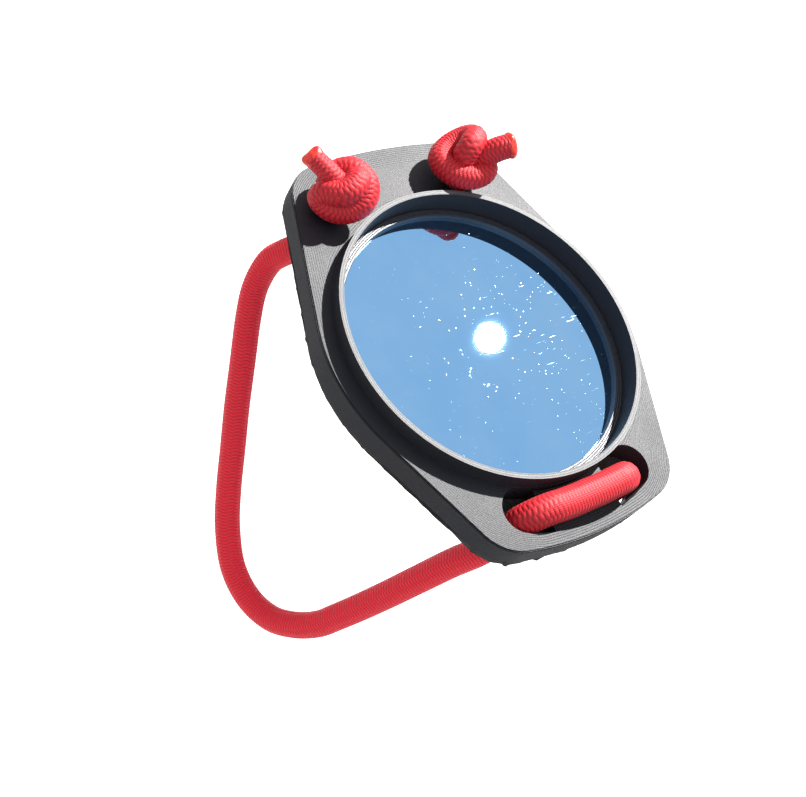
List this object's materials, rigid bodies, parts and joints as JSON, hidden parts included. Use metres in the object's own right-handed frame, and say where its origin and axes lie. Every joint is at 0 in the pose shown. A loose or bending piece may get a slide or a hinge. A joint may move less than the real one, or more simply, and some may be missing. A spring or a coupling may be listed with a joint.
{
  "type": "strap-on solar filter",
  "caption": "Mirror-coated solar filter disc in a black printed plate with a raised collar, strapped on by a red elastic cord that is knotted at the top and crosses a curved slot at the bottom.",
  "frame": {"origin": "on the aperture's axis, on the flat back face that rests on the telescope", "axes": "+Z out of the front of the filter, +Y towards the two knots, +X to the right as the front is looked at"},
  "size_m": [0.07, 0.0803, 0.0769],
  "materials": {
    "printed_plastic": "matte",
    "ring_plastic": "satin",
    "coated_glass": "polished",
    "foam": "matte",
    "cord_sheath": "woven",
    "melted_end": "gloss"
  },
  "bodies": {
    "filter": {"filter_frame": "printed_plastic", "filter_disc": "coated_glass", "retaining_ring": "ring_plastic", "back_seal": "foam", "cord_bridge": "cord_sheath", "left_knot": "cord_sheath", "right_knot": "cord_sheath", "left_cord_tip": "melted_end", "right_cord_tip": "melted_end"},
    "left_cord": {"left_loop": "cord_sheath"},
    "right_cord": {"right_loop": "cord_sheath"}
  },
  "joints": [
    {"name": "left_loop_swing", "type": "hinge", "parent": "filter", "child": "left_cord", "pos_m": [-0.013, 0.032, -0.0032], "axis": [0, 1, 0], "range_deg": [-25, 60], "stiffness_Nm_per_rad": 0.03},
    {"name": "right_loop_swing", "type": "hinge", "parent": "filter", "child": "right_cord", "pos_m": [0.013, 0.032, -0.0032], "axis": [-0.0406, -0.9992, 0], "range_deg": [-25, 60], "stiffness_Nm_per_rad": 0.03}
  ]
}
